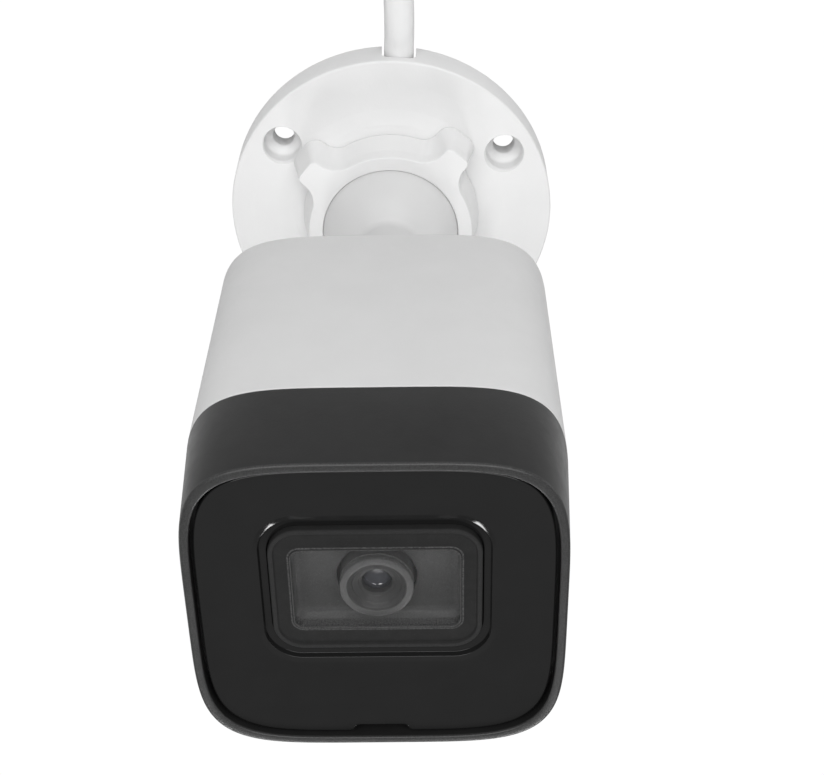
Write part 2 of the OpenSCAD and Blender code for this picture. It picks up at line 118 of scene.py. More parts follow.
def photo_camera():
    """The camera looks down at the front from the cable's side, 33 degrees off the lens axis."""
    pitch, yaw, roll = radians(33.29), radians(0.92), radians(-1.17)
    forward = Vector((sin(yaw) * cos(pitch), sin(pitch), -cos(yaw) * cos(pitch)))
    right = Vector((-cos(yaw), 0, -sin(yaw)))
    up = Vector((sin(pitch) * sin(yaw), -cos(pitch), -sin(pitch) * cos(yaw)))
    rolled_right = cos(roll) * right + sin(roll) * up
    rolled_up = cos(roll) * up - sin(roll) * right
    data = bpy.data.cameras.new("photo_camera")
    data.sensor_width = 36
    data.lens = 65.8
    data.clip_start = 0.01
    camera = bpy.data.objects.new("photo_camera", data)
    scene.collection.objects.link(camera)
    turn = Matrix((rolled_right, rolled_up, -forward)).transposed().to_4x4()
    place = (-0.0089, -0.1557, 0.3191)
    camera.matrix_world = Matrix.Translation(place) @ turn
    scene.camera = camera


photo_camera()


# ---- Materials ----


def grey(value):
    """A neutral colour, as linear light."""
    return (value, value, value)


def set_stops(ramp, stops):
    """Gives a colour ramp two or more stops of (position, colour)."""
    for i, (position, colour) in enumerate(stops):
        stop = ramp.elements[i] if i < 2 else ramp.elements.new(position)
        stop.position = position
        stop.color = (*colour, 1)


def by_ray(tree, ray, usual, special, output):
    """One kind of ray meets the special shader, and every other kind meets the usual one."""
    path = tree.nodes.new("ShaderNodeLightPath")
    mix = tree.nodes.new("ShaderNodeMixShader")
    tree.links.new(path.outputs[ray], mix.inputs["Fac"])
    tree.links.new(usual.outputs[0], mix.inputs[1])
    tree.links.new(special.outputs[0], mix.inputs[2])
    tree.links.new(mix.outputs["Shader"], tree.nodes[output].inputs["Surface"])


class Shader:
    """A Principled material whose textures lie in the object's own space, in millimetres."""

    def __init__(self, name, roughness, ior=1.5, metallic=0.0, **sockets):
        self.material = bpy.data.materials.new(name)
        self.material.use_nodes = True
        self.nodes = self.material.node_tree.nodes
        self.links = self.material.node_tree.links
        self.surface = self.nodes["Principled BSDF"]
        self.set("Roughness", roughness)
        self.set("IOR", ior)
        self.set("Metallic", metallic)
        for socket, value in sockets.items():
            self.set(socket.replace("_", " "), value)
        self.place = self.nodes.new("ShaderNodeTexCoord").outputs["Object"]
        self.height = None

    def set(self, socket, value):
        self.surface.inputs[socket].default_value = value

    def noise(self, grain, detail=2.0, stretch=(1, 1, 1)):
        """Noise whose lumps are about grain millimetres across."""
        node = self.nodes.new("ShaderNodeTexNoise")
        node.inputs["Scale"].default_value = 1 / (grain * MM)
        node.inputs["Detail"].default_value = detail
        shift = self.nodes.new("ShaderNodeMapping")
        shift.inputs["Scale"].default_value = stretch
        self.links.new(self.place, shift.inputs["Vector"])
        self.links.new(shift.outputs["Vector"], node.inputs["Vector"])
        return node.outputs["Fac"]

    def ramp(self, source, stops):
        """Colours that follow a value, from stops of (value, colour)."""
        node = self.nodes.new("ShaderNodeValToRGB")
        set_stops(node.color_ramp, stops)
        self.links.new(source, node.inputs["Fac"])
        return node.outputs["Color"]

    def colour(self, base, spread=0.03, grain=6.0, speck=None):
        """The base colour, a little lighter and darker in soft patches.

        speck, where given, is the grain, threshold, full strength and colour of fine light specks.
        """
        darker = [c * (1 - spread) for c in base]
        lighter = [min(1, c * (1 + spread)) for c in base]
        patches = self.ramp(self.noise(grain, 3), [(0.3, darker), (0.7, lighter)])
        self.links.new(patches, self.surface.inputs["Base Color"])
        if speck:
            speck_grain, low, high, speck_colour = speck
            self.lay_over(self.ramp(self.noise(speck_grain, 1), [(low, grey(0)), (high, grey(1))]), speck_colour)
        return self

    def lay_over(self, strength, colour):
        """Puts a colour over the base colour so far, as strongly as the socket says."""
        base_colour = self.surface.inputs["Base Color"]
        mix = self.nodes.new("ShaderNodeMix")
        mix.data_type = "RGBA"
        self.links.new(strength, mix.inputs["Factor"])
        self.links.new(base_colour.links[0].from_socket, mix.inputs["A"])
        mix.inputs["B"].default_value = (*colour, 1)
        self.links.new(mix.outputs["Result"], base_colour)

    def math(self, operation, first, second=0):
        """One Math node. Its inputs are numbers or other nodes' outputs."""
        node = self.nodes.new("ShaderNodeMath")
        node.operation = operation
        for socket, value in zip(node.inputs, (first, second)):
            if isinstance(value, (int, float)):
                socket.default_value = value
            else:
                self.links.new(value, socket)
        return node.outputs["Value"]

    def along(self, axis):
        """Metres along one axis."""
        split = self.nodes.new("ShaderNodeSeparateXYZ")
        self.links.new(self.place, split.inputs["Vector"])
        return split.outputs[axis]

    def beside(self, rectangle, middle_y):
        """Millimetres outside a rectangle (width, height, corner radius) centred at x = 0, y = middle_y."""
        w, h, r = rectangle
        over_x = self.math("SUBTRACT", self.math("ABSOLUTE", self.along("X")), (w / 2 - r) * MM)
        off_y = self.math("SUBTRACT", self.along("Y"), middle_y * MM)
        over_y = self.math("SUBTRACT", self.math("ABSOLUTE", off_y), (h / 2 - r) * MM)
        near_x = self.math("MAXIMUM", over_x, 0)
        near_y = self.math("MAXIMUM", over_y, 0)
        squares = self.math("ADD", self.math("POWER", near_x, 2), self.math("POWER", near_y, 2))
        inside = self.math("MINIMUM", self.math("MAXIMUM", over_x, over_y), 0)
        reach = self.math("ADD", self.math("SQRT", squares), inside)
        return self.math("SUBTRACT", self.math("DIVIDE", reach, MM), r)

    def above(self, z):
        """Millimetres above a height."""
        return self.math("SUBTRACT", self.math("DIVIDE", self.along("Z"), MM), z)

    def lighten(self, place, low, high, amount, speckle_grain):
        """A speckled lighter grey where place is between low and high millimetres; some of these bands are painted
        highlight on edges that catch the light.
        """
        off = self.math("ABSOLUTE", self.math("SUBTRACT", place, (low + high) / 2))
        band = self.ramp(self.math("DIVIDE", off, high - low), [(0.4, grey(1)), (0.62, grey(0))])
        grain = self.ramp(self.noise(speckle_grain, 2), [(0.38, grey(0.25)), (0.66, grey(1))])
        self.lay_over(self.math("MULTIPLY", band, grain), grey(amount))

    def let_lamps_through(self):
        """Lamps light what is behind this glass, as they do behind a real pane."""
        clear = self.nodes.new("ShaderNodeBsdfTransparent")
        clear.inputs["Color"].default_value = (*grey(0.9), 1)
        by_ray(self.material.node_tree, "Is Shadow Ray", self.surface, clear, "Material Output")

    def gloss(self, low, high, grain=2.0):
        """Roughness that varies from low to high."""
        node = self.nodes.new("ShaderNodeMapRange")
        node.inputs["To Min"].default_value = low
        node.inputs["To Max"].default_value = high
        node.inputs["From Min"].default_value = 0.3
        node.inputs["From Max"].default_value = 0.7
        self.links.new(self.noise(grain, 3), node.inputs["Value"])
        self.links.new(node.outputs["Result"], self.surface.inputs["Roughness"])
        return self

    def bump(self, grain, depth, strength=1.0, detail=2.0, stretch=(1, 1, 1)):
        """One more layer of relief, depth millimetres deep."""
        node = self.nodes.new("ShaderNodeBump")
        node.inputs["Strength"].default_value = strength
        node.inputs["Distance"].default_value = depth * MM
        self.links.new(self.noise(grain, detail, stretch), node.inputs["Height"])
        if self.height:
            self.links.new(self.height, node.inputs["Normal"])
        self.height = node.outputs["Normal"]
        self.links.new(self.height, self.surface.inputs["Normal"])
        return self


def make_materials():
    """One material for each slot of the record."""
    made = {}

    def add(slot, *args, **kwargs):
        made[slot] = Shader(slot, *args, **kwargs)
        return made[slot]

    add("white_paint", 0.42).colour(grey(0.78), 0.012, 9).gloss(0.38, 0.48).bump(0.55, 0.012).bump(2.2, 0.02)
    add("grey_paint", 0.45).colour(grey(0.66), 0.015, 9).gloss(0.42, 0.52).bump(0.5, 0.012).bump(2.0, 0.015)
    hood = add("hood_plastic", 0.32, 1.4).colour(grey(0.015), 0.08, 3).gloss(0.29, 0.36)
    hood.bump(0.22, 0.009).bump(0.7, 0.01)
    # Painted highlight: a lighter speckled band along the hood's rounded front edge, standing for the light that
    # edge catches.
    hood.lighten(hood.above(FRONT_Z), -0.45, 0.4, 0.055, 0.16)
    add("panel_plastic", 0.08, 1.45).colour(grey(0.0115), 0.05, 8).gloss(0.05, 0.1, 4).bump(3.0, 0.004)
    rubber = add("black_rubber", 0.8, 1.25).colour(grey(0.017), 0.1, 1.5, (0.12, 0.68, 0.78, grey(0.04)))
    rubber.bump(0.2, 0.02)
    # Painted highlight along the gasket's raised rim, speckled by the rubber's grain.
    rubber.lighten(rubber.beside(GASKET_RIM, WINDOW_Y), -0.75, -0.05, 0.03, 0.15)
    rubber.lighten(rubber.beside(GASKET_LIP, WINDOW_Y), -0.05, 0.2, 0.09, 0.15)
    rubber.lighten(rubber.beside(GASKET_OPENING, WINDOW_Y), -0.1, 0.15, 0.09, 0.25)
    mask = add("mask_plastic", 0.6, 1.4).colour(grey(0.033), 0.08, 1.5, (0.16, 0.6, 0.72, grey(0.075)))
    mask.bump(0.18, 0.035)
    # Painted light: a lighter speckled band on the tray's wall round the opening, standing for the lamp light that
    # wall catches.
    mask.lighten(mask.beside(GASKET_OPENING, WINDOW_Y), -1.3, 0.6, 0.06, 0.25)
    barrel = add("lens_metal", 0.4, 1.35).colour(grey(0.02), 0.05, 2).gloss(0.34, 0.44).bump(0.15, 0.004)
    barrel.lighten(barrel.beside((2 * BARREL_R, 2 * BARREL_R, BARREL_R), LENS_Y), -1.2, 0.2, 0.08, 0.15)
    add("seat_plastic", 0.5).colour(grey(0.25), 0.04).bump(0.4, 0.02)
    steel = add("steel", 0.28, metallic=1.0).colour((0.62, 0.61, 0.58), 0.05, 1.0)
    steel.gloss(0.22, 0.36, 0.8).bump(0.3, 0.006, stretch=(1, 1, 6))
    add("brass", 0.25, metallic=1.0).colour((0.75, 0.58, 0.28), 0.05, 1.0).bump(0.4, 0.004)
    add("gold", 0.2, metallic=1.0).colour((0.85, 0.65, 0.28), 0.04, 1.0).bump(0.4, 0.003)
    add("board", 0.35).colour((0.02, 0.14, 0.06), 0.15, 3.0).bump(0.8, 0.01)
    add("chip", 0.5).colour(grey(0.03), 0.1, 1.0).bump(0.2, 0.01)
    add("pad", 0.7).colour((0.35, 0.45, 0.6), 0.05, 1.0).bump(0.4, 0.02)
    add("chassis_metal", 0.4, metallic=1.0).colour((0.55, 0.55, 0.56), 0.05, 2.0).bump(0.5, 0.02)
    add("led_dome", 0.12).colour((0.8, 0.78, 0.6), 0.05, 1.0).bump(0.8, 0.004)
    add("connector", 0.45).colour((0.8, 0.78, 0.7), 0.03).bump(0.5, 0.01)
    add("white_cable", 0.42).colour(grey(0.8), 0.012, 12).gloss(0.38, 0.5, 3).bump(0.5, 0.012).bump(4, 0.03)
    add("black_cable", 0.42).colour(grey(0.03), 0.06, 6).gloss(0.38, 0.5, 3).bump(0.5, 0.012)
    glass = add("clear_glass", 0.0, Transmission_Weight=1.0).colour(grey(0.97), 0.005, 9)
    glass.gloss(0, 0.004, 6).let_lamps_through()
    add("lens_glass", 0.04).colour((0.02, 0.021, 0.026), 0.1, 1.0).gloss(0.02, 0.05, 2)
    add("filter_glass", 0.05, Transmission_Weight=0.8).colour((0.35, 0.6, 0.55), 0.02).bump(3.0, 0.001)
    return {slot: shader.material for slot, shader in made.items()}


MATERIALS = make_materials()


def dress_cad_nodes():
    """Gives each CAD node the material of its slot in the record."""
    for part in frame["record"]["subparts"]:
        node = frame["nodes"][part["node"]]
        node.data.materials.clear()
        node.data.materials.append(MATERIALS[part["material_slot"]])


dress_cad_nodes()


# ---- Cable ----
# The points that aren't on the coil are part.scad's own.

PIGTAIL = [
    (-1.5, -20, 3.25), (-2, -28, 3.25), (-2.5, -37, 3.25), (-2.7, -46, 3.25), (-2.3, -55, 3.25),
    (-1.2, -64, 3.25), (-0.4, -71, 3.25), (0, -78, 3.25),
]
TAIL = [
    (17, -60, 9.75), (11, -60, 9.75), (6, -60, 9.75), (1.3, -60.4, 9.75), (-3.2, -61.6, 9.75), (-7.5, -63.6, 9.1),
    (-11.4, -66.3, 8), (-14.7, -69.6, 6.6), (-17.4, -73.5, 5.2), (-19.4, -77.8, 4.1), (-20.6, -82.3, 3.5),
    (-21, -86.5, 3.25), (-21, -90, 3.25),
]
NETWORK_LEAD = [
    (-24.5, -108, 2.5), (-24.5, -112, 2.5), (-25.1, -118, 2.5), (-26.2, -124, 2.8), (-27.4, -130, 3.6),
    (-28.3, -136, 4.5), (-28.5, -141, 5), (-28.5, -146, 5),
]
POWER_LEAD = [
    (-17.5, -108, 1.8), (-17.5, -112, 1.8), (-16.6, -117, 1.8), (-15, -122, 2.2), (-13.5, -127, 3),
    (-12.4, -132, 4.3), (-12, -137, 5.3), (-12, -142, 5.5),
]


def smooth(t):
    """0 to 1 with a gentle start and end."""
    t = min(1, max(0, t))
    return t * t * (3 - 2 * t)


def coil_points():
    """One and three quarter turns, from angle to angle in degrees. The second turn lies on the first."""
    start, rise_from, rise_to, end = 180, 465, 525, 810
    points = []
    for angle in range(start, end + 1, 15):
        z = CABLE_D / 2 + CABLE_D * smooth((angle - rise_from) / (rise_to - rise_from))
        a = radians(angle)
        points.append((COIL_X + COIL_R * cos(a), COIL_Y + COIL_R * sin(a), z))
    return points


def cord_curve(name, points, diameter, slot):
    """A round cord through the points."""
    data = bpy.data.curves.new(name, "CURVE")
    data.dimensions = "3D"
    data.bevel_depth = diameter * MM / 2
    data.bevel_resolution = 6
    data.resolution_u = 6
    data.use_fill_caps = True
    spline = data.splines.new("BEZIER")
    spline.bezier_points.add(len(points) - 1)
    for knot, point in zip(spline.bezier_points, points):
        knot.co = Vector(point) * MM
        knot.handle_left_type = "AUTO"
        knot.handle_right_type = "AUTO"
    data.materials.append(MATERIALS[slot])
    piece = bpy.data.objects.new(name, data)
    scene.collection.objects.link(piece)
    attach(piece, "base")
    return piece


# ---- Mesh tools ----


def fillet(corners, closed=False, steps=5):
    """A profile (u, v) from corners (u, v, radius), with each corner rounded by an arc."""
    out = []
    count = len(corners)
    for i, (u, v, radius) in enumerate(corners):
        here = Vector((u, v))
        if not radius or (not closed and i in (0, count - 1)):
            out.append((u, v))
            continue
        before = Vector(corners[i - 1][:2]) - here
        after = Vector(corners[(i + 1) % count][:2]) - here
        half = before.angle(after) / 2
        reach = min(radius / tan(half), 0.499 * before.length, 0.499 * after.length)
        true_radius = reach * tan(half)
        before.normalize()
        after.normalize()
        centre = here + (before + after).normalized() * true_radius / sin(half)
        start = here + before * reach - centre
        end = here + after * reach - centre
        turn = pi - 2 * half
        for k in range(steps + 1):
            a = turn * k / steps
            spoke = (start * sin(turn - a) + end * sin(a)) / sin(turn)
            out.append(tuple(centre + spoke))
    return out


def arc(cu, cv, r, start, end, steps):
    """Points (u, v) along an arc, from one angle to another."""
    angles = [start + (end - start) * k / steps for k in range(steps + 1)]
    return [(cu + r * cos(a), cv + r * sin(a)) for a in angles]


def superellipse(w, h, z):
    """The housing's rounded-square outline."""
    points = []
    for k in range(AROUND):
        c, s = cos(tau * k / AROUND), sin(tau * k / AROUND)
        r = (abs(2 * c / w) ** SQUARENESS + abs(2 * s / h) ** SQUARENESS) ** (-1 / SQUARENESS)
        points.append((r * c, r * s, z))
    return points


def circle(r, z, cx=0.0, cy=0.0, count=AROUND):
    """A circle's points at one height."""
    return [(cx + r * cos(tau * k / count), cy + r * sin(tau * k / count), z) for k in range(count)]


def hexagon(inner_r, z, cx, cy, count):
    """A hexagon's points at one height."""
    points = []
    for k in range(count):
        a = tau * k / count
        off = (a + pi / 6) % (pi / 3) - pi / 6
        points.append((cx + inner_r / cos(off) * cos(a), cy + inner_r / cos(off) * sin(a), z))
    return points


def round_rect(w, h, r, z, cx=0.0, cy=0.0, count=AROUND):
    """A rectangle with round corners, met by rays at even angles so that it joins any other outline."""
    half_w, half_h = w / 2, h / 2
    r = min(max(r, 0.05), half_w, half_h)
    corner_x, corner_y = half_w - r, half_h - r
    points = []
    for k in range(count):
        c, s = cos(tau * k / count), sin(tau * k / count)
        reach = min(half_w / abs(c) if abs(c) > 1e-9 else inf, half_h / abs(s) if abs(s) > 1e-9 else inf)
        if abs(c) * reach > corner_x and abs(s) * reach > corner_y:
            along = abs(c) * corner_x + abs(s) * corner_y
            reach = along + sqrt(max(0, along**2 - corner_x**2 - corner_y**2 + r**2))
        points.append((cx + reach * c, cy + reach * s, z))
    return points


def loft(rings, closed=False, cap_first=True, cap_last=True):
    """Points and faces of a skin through rings that have the same number of points."""
    n = len(rings[0])
    points = [p for ring in rings for p in ring]
    faces = []
    for j in range(len(rings) if closed else len(rings) - 1):
        a, b = j * n, (j + 1) % len(rings) * n
        faces += [(a + k, a + (k + 1) % n, b + (k + 1) % n, b + k) for k in range(n)]
    if not closed and cap_first:
        faces.append(tuple(reversed(range(n))))
    if not closed and cap_last:
        faces.append(tuple(range(len(points) - n, len(points))))
    return points, faces


def join(*skins):
    """Several skins as one."""
    points, faces = [], []
    for skin_points, skin_faces in skins:
        start = len(points)
        points += skin_points
        faces += [tuple(start + k for k in face) for face in skin_faces]
    return points, faces


def lathe(profile, closed=False, cx=0.0, cy=0.0, count=128):
    """A profile of (radius, z) turned about the Z axis. A radius of 0 makes a pole."""
    return loft([circle(max(r, POLE_R), z, cx, cy, count) for r, z in profile], closed)


def rod(r, first_z, last_z, cx, cy, count):
    """A solid rod along the Z axis."""
    return lathe([(0, first_z), (r, first_z), (r, last_z), (0, last_z)], cx=cx, cy=cy, count=count)


def along_cable(skin, x, y, z):
    """A skin made along +Z, laid down at x, y, z so that it runs along -Y."""
    points, faces = skin
    return [(x - u, y - w, z + v) for u, v, w in points], faces


def mesh_of(name, skin):
    """A skin as a mesh, with points that touch merged and faces turned outwards."""
    points, faces = skin
    mesh = bpy.data.meshes.new(name)
    mesh.from_pydata([Vector(p) * MM for p in points], [], faces)
    work = bmesh.new()
    work.from_mesh(mesh)
    bmesh.ops.remove_doubles(work, verts=work.verts, dist=3e-6)
    bmesh.ops.dissolve_degenerate(work, edges=work.edges, dist=1e-8)
    bmesh.ops.recalc_face_normals(work, faces=work.faces)
    work.to_mesh(mesh)
    work.free()
    return mesh


def combine(mesh, skin, operation):
    """The mesh with the skin's space added (UNION) or taken away (DIFFERENCE)."""
    body = bpy.data.objects.new("combine_body", mesh)
    tool = bpy.data.objects.new("combine_tool", mesh_of("combine_tool", skin))
    for helper in (body, tool):
        scene.collection.objects.link(helper)
    step = body.modifiers.new("combine", "BOOLEAN")
    step.operation = operation
    step.solver = "EXACT"
    step.object = tool
    result = bpy.data.meshes.new_from_object(body.evaluated_get(bpy.context.evaluated_depsgraph_get()))
    for helper in (body, tool):
        data = helper.data
        bpy.data.objects.remove(helper)
        bpy.data.meshes.remove(data)
    return result


def piece(name, skin, slot, body, replaces=(), sharp=38, cutters=(), extras=()):
    """A finished piece, smooth but for edges sharper than the angle."""
    mesh = mesh_of(name, skin)
    for extra in extras:
        mesh = combine(mesh, extra, "UNION")
    for cutter in cutters:
        mesh = combine(mesh, cutter, "DIFFERENCE")
    mesh.name = name
    mesh.shade_smooth()
    mesh.set_sharp_from_angle(angle=radians(sharp))
    mesh.materials.clear()
    mesh.materials.append(MATERIALS[slot])
    made = bpy.data.objects.new(name, mesh)
    scene.collection.objects.link(made)
    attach(made, body)
    if replaces:
        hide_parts(*replaces)
    return made


# ---- Cable pieces ----
# A profile here is (inset or radius, distance along the cable, corner radius).


def coil_tie():
    """A hook-and-loop band round both turns of the coil."""
    inner, band, half_w = CABLE_D / 2, 0.8, 3
    height = 4 * inner + band
    edge = fillet([(0, -half_w, 0.3), (0, half_w, 0.3), (band, half_w, 0.2), (band, -half_w, 0.2)], closed=True,
                  steps=3)
    rings = [round_rect(2 * (inner + band - d), height - 2 * d, inner + band - d, u, count=96) for d, u in edge]
    skin = along_cable(loft(rings, closed=True), COIL_X + COIL_R, COIL_Y, height / 2)
    return piece("coil_tie_band", skin, "black_cable", "base", ["coil_tie"])


def splitter():
    """The moulded block where the cable divides."""
    low, high = extent("cable_splitter", Y)
    x = sum(extent("cable_splitter", X)) / 2
    length = high - low
    w, h = size("cable_splitter", X), size("cable_splitter", Z)
    profile = fillet([(3.2, 0, 0), (2.6, 0.4, 0.3), (0, 3.4, 3), (0, length - 2, 2), (1.2, length, 0.6),
                      (3, length, 0)])
    skin = loft([round_rect(w - 2 * d, h - 1.3 * d, 2.6, u, count=128) for d, u in profile])
    return piece("splitter_block", along_cable(skin, x, high, h / 2), "white_cable", "base", ["cable_splitter"])


def network_socket():
    """The network lead's end: a ribbed boot and a block with the socket's mouth."""
    x = sum(extent("network_socket", X)) / 2
    low, high = extent("network_socket", Y)
    length = high - low
    w, h = size("network_socket", X), size("network_socket", Z)
    boot_end, mouth_deep = 10, 13
    corners = [(4.6, 0, 0), (3.2, 0.2, 0.4)]
    for k in range(4):
        u = 2.2 * k
        corners += [(2.6, 1.2 + u, 0.3), (2.6, 2.4 + u, 0.3), (3.4, 2.6 + u, 0.2), (3.4, 3.2 + u, 0.2)]
    corners = corners[:-1] + [(3, boot_end - 0.2, 0), (0.6, boot_end, 0.5), (0, boot_end + 1, 0.5)]
    corners += [(0, length - 3, 0), (0, length - 0.5, 0.4), (0.6, length, 0.2), (2, length, 0)]
    rings = [round_rect(w - 2 * d, h - 2 * d * 0.7, 1.4, u, count=160) for d, u in fillet(corners, steps=3)]
    skin = along_cable(loft(rings), x, high, h / 2)
    cutters = []
    for wide, tall, z in ((11.9, 7.2, 7.6), (6, 3.2, 3.8)):
        opening = loft([round_rect(wide, tall, 0.3, u, count=96) for u in (length - mouth_deep, length + 1)])
        cutters.append(along_cable(opening, x, high, z))
    return piece("network_socket_body", skin, "white_cable", "base", ["network_socket"], cutters=cutters)


def power_socket():
    """The power lead's end: a tapered relief and a ribbed barrel."""
    x = sum(extent("power_socket", X)) / 2
    low, high = extent("power_socket", Y)
    length = high - low
    r = size("power_socket", X) / 2
    groove_r, mouth_r, mouth_deep = r - 0.35, 2.8, 10.9
    corners = [(1.85, 0.2, 0), (2.6, 0, 0.2)]
    for k in range(3):
        u, wider = 1.4 + 2 * k, 0.35 * k
        corners += [(2.9 + wider, u, 0.2), (2.3 + wider, u + 0.2, 0.1), (2.3 + wider, u + 0.9, 0.1),
                    (3.1 + wider, u + 1.1, 0.2)]
    corners += [(4.3, 7.2, 0.3), (r, 8.6, 0.6)]
    for k in range(6):
        u = 12 + 1.7 * k
        corners += [(r, u, 0.1), (groove_r, u + 0.2, 0.1), (groove_r, u + 0.7, 0.1), (r, u + 0.9, 0.1)]
    corners += [(r, length - 0.1, 0.5), (mouth_r, length, 0.2), (mouth_r, length - mouth_deep, 0),
                (0, length - mouth_deep, 0)]
    skin = along_cable(lathe(fillet(corners, steps=3), count=96), x, high, r)
    return piece("power_socket_body", skin, "black_cable", "base", ["power_socket"])


def cable():
    """The main cable, its two leads and what is on them."""
    tie = coil_tie()
    block = splitter()
    network_end = network_socket()
    power_end = power_socket()
    main = cord_curve("main_cable", PIGTAIL[:-1] + coil_points() + TAIL, CABLE_D, "white_cable")
    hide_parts("pigtail_cable", "cable_coil", "cable_tail")
    network = cord_curve("network_lead_cord", NETWORK_LEAD, 5, "white_cable")
    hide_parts("network_lead")
    power = cord_curve("power_lead_cord", POWER_LEAD, 3.6, "black_cable")
    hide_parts("power_lead")


cable()


# ---- Mounting base ----


def turned(skin, angle):
    """A skin turned about the Z axis."""
    points, faces = skin
    turn = Matrix.Rotation(angle, 3, "Z")
    return [tuple(turn @ Vector(p)) for p in points], faces


def base():
    """The round cast base: three screw holes on bosses, ribs, the cable's notch and a hollow back."""
    top_z, pocket_z, seat_z, seat_floor_z = 9, 6.8, 5.6, 3.6
    skirt_r, seat_r = size("ball_seat", X) / 2 + 2.25, 13.2
    inner_r = BASE_R - 2.2
    profile = fillet([
        (inner_r, 0, 0.2), (BASE_R, 0, 0.3), (BASE_R, top_z, 0.55), (31, 9.12, 12), (25.5, 9.5, 8), (22, 10, 3),
        (skirt_r, 10, 0.3), (skirt_r, seat_z, 0), (seat_r, seat_z, 0), (seat_r, seat_floor_z, 0),
        (20, seat_floor_z, 0), (20, pocket_z, 0), (inner_r, pocket_z, 0.5),
    ], closed=True)
    bore = fillet([
        (0, 12, 0), (5.4, 12, 0), (4.6, 9.5, 1.2), (4.1, 8.6, 0.8), (4.05, 5.6, 1.2), (3.1, 4.7, 0.8),
        (2.4, 3.9, 0.8), (2.4, -1, 0), (0, -1, 0),
    ], steps=4)
    hole_circle_r, hole_circle_y, boss_r, boss_z = 28.7, -1.5, 5.6, 7
    extras, cutters = [], []
    for angle in (90, 210, 330):
        hole_x = hole_circle_r * cos(radians(angle))
        hole_y = hole_circle_r * sin(radians(angle)) + hole_circle_y
        extras.append(turned(rod(boss_r, 0, boss_z, hole_x, hole_y, 64), BASE_TURN))
        cutters.append(turned(lathe(bore, cx=hole_x, cy=hole_y, count=90), BASE_TURN))
    for angle in (30, 150, 240, 300):
        rib = loft([[(x, y, z) for x, y in ((19.5, -0.75), (35.2, -0.75), (35.2, 0.75), (19.5, 0.75))]
                    for z in (0.5, boss_z)])
        extras.append(turned(rib, radians(angle) + BASE_TURN))
    notch = loft([round_rect(7.6, 11.6, 2, u, count=96) for u in (10, 48)])
    cutters.append(turned(along_cable(notch, -0.5, 0, 1), BASE_TURN))
    piece("base_casting", lathe(profile, closed=True, count=256), "white_paint", "base", ["base_plate"], 32, cutters,
          extras)


base()


# ---- Lock ring ----


def ring_outline():
    """The lock ring's outer edge: four lobes with round tips, joined to the ring by hollow curves."""
    tip, half_w, ring_r, blend_r, round_r = 24, 3, 18.2, 5.5, 1.4
    blend_y = half_w + blend_r
    blend_x = sqrt((ring_r + blend_r) ** 2 - blend_y**2)
    foot = atan2(blend_y, blend_x)
    half = arc(tip - round_r, half_w - round_r, round_r, 0, pi / 2, 6)[:-1]
    half += arc(blend_x, blend_y, blend_r, -pi / 2, foot - pi, 14)[:-1]
    half += arc(0, 0, ring_r, foot, pi / 4, 10)
    lobe = [(x, -y) for x, y in reversed(half)] + [(tip, 0)] + half[:-1]
    outline = []
    for quarter in range(4):
        a = radians(45 + 90 * quarter) + RING_TURN
        outline += [(x * cos(a) - y * sin(a), x * sin(a) + y * cos(a)) for x, y in lobe]
    return outline


def lock_ring():
    """The lobed ring that holds the ball, with a socket that fits it and a skirt for the thread."""
    outline = ring_outline()
    count = len(outline)
    normals = []
    for k in range(count):
        ax, ay = outline[k - 1]
        bx, by = outline[(k + 1) % count]
        length = hypot(bx - ax, by - ay)
        normals.append(((by - ay) / length, (ax - bx) / length))

    def outer(inset, z):
        return [(x - nx * inset, y - ny * inset, z) for (x, y), (nx, ny) in zip(outline, normals)]

    def inner(r, z):
        return [(r * cos(atan2(y, x)), r * sin(atan2(y, x)), z) for x, y in outline]

    skirt_z = extent("lock_ring", Z)[0]
    lobe_z, mouth_z, socket_z = skirt_z + 3.65, RING_Z - 0.4, BALL_Z - 1.5
    mouth_r, thread_r, skirt_r, socket_r = 15, 15.7, 17.6, BALL_R + 0.06
    side = fillet([(0.6, lobe_z, 0), (-1.7, lobe_z, 0.3), (-0.35, RING_Z - 3, 8), (0, RING_Z, 0.3),
                   (0.9, RING_Z, 0)], steps=6)
    rings = [outer(d, z) for d, z in side]
    rings += [inner(mouth_r + 0.5, RING_Z), inner(mouth_r + 0.2, RING_Z - 0.08)]
    for k in range(7):
        z = mouth_z + (socket_z - mouth_z) * k / 6
        rings.append(inner(sqrt(socket_r**2 - (z - BALL_Z) ** 2), z))
    rings += [inner(thread_r, socket_z), inner(thread_r, skirt_z), inner(skirt_r, skirt_z),
              inner(skirt_r, lobe_z + 0.15)]
    piece("lock_ring_casting", loft(rings, closed=True), "white_paint", "ring", ["lock_ring"], 32)


lock_ring()


# ---- Ball and stem ----


